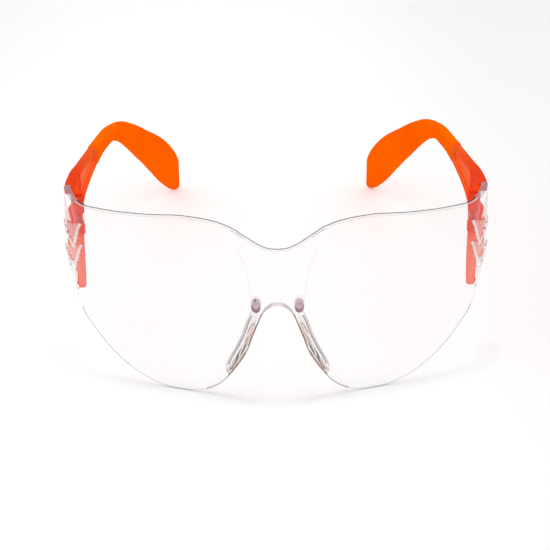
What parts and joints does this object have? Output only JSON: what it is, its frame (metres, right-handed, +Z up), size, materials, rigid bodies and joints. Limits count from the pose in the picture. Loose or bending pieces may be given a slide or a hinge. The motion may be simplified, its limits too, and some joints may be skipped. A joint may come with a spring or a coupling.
{
  "type": "safety glasses",
  "caption": "Wrap-around safety spectacles: a one-piece clear lens with chevron side ribs, soft nose pads, and translucent folding temples with opaque soft sleeves.",
  "frame": {"origin": "middle of the footprint, on the plane the spectacles rest on (lens lobes and temple tips down)", "axes": "+Z up, -Y the way the lens faces, temples run back along +Y, X across the face; left means -X and right means +X"},
  "size_m": [0.1386, 0.1606, 0.0609],
  "materials": {
    "lens_clear": "polished clear polycarbonate",
    "pad_rubber_left": "soft clear elastomer, faint pink tint",
    "pad_rubber_right": "soft clear elastomer, faint pink tint",
    "temple_tint_left": "glossy translucent orange-red polycarbonate",
    "temple_tint_right": "glossy translucent orange-red polycarbonate",
    "sleeve_soft_left": "satin opaque orange elastomer",
    "sleeve_soft_right": "satin opaque orange elastomer",
    "pin_tint_left": "translucent orange-red plastic, as the temples",
    "pin_tint_right": "translucent orange-red plastic, as the temples"
  },
  "bodies": {
    "front": {"lens": "lens_clear", "nose_pad_left": "pad_rubber_left", "nose_pad_right": "pad_rubber_right", "hinge_pin_left": "pin_tint_left", "hinge_pin_right": "pin_tint_right"},
    "temple_l": {"temple_left": "temple_tint_left", "temple_sleeve_left": "sleeve_soft_left"},
    "temple_r": {"temple_right": "temple_tint_right", "temple_sleeve_right": "sleeve_soft_right"}
  },
  "joints": [
    {"name": "fold_left", "type": "hinge", "parent": "front", "child": "temple_l", "pos_m": [-0.0639, -0.0464, 0.0517], "axis": [0, 0, -1], "range_deg": [0, 84]},
    {"name": "fold_right", "type": "hinge", "parent": "front", "child": "temple_r", "pos_m": [0.0639, -0.0464, 0.0517], "axis": [0, 0, 1], "range_deg": [0, 75]}
  ]
}
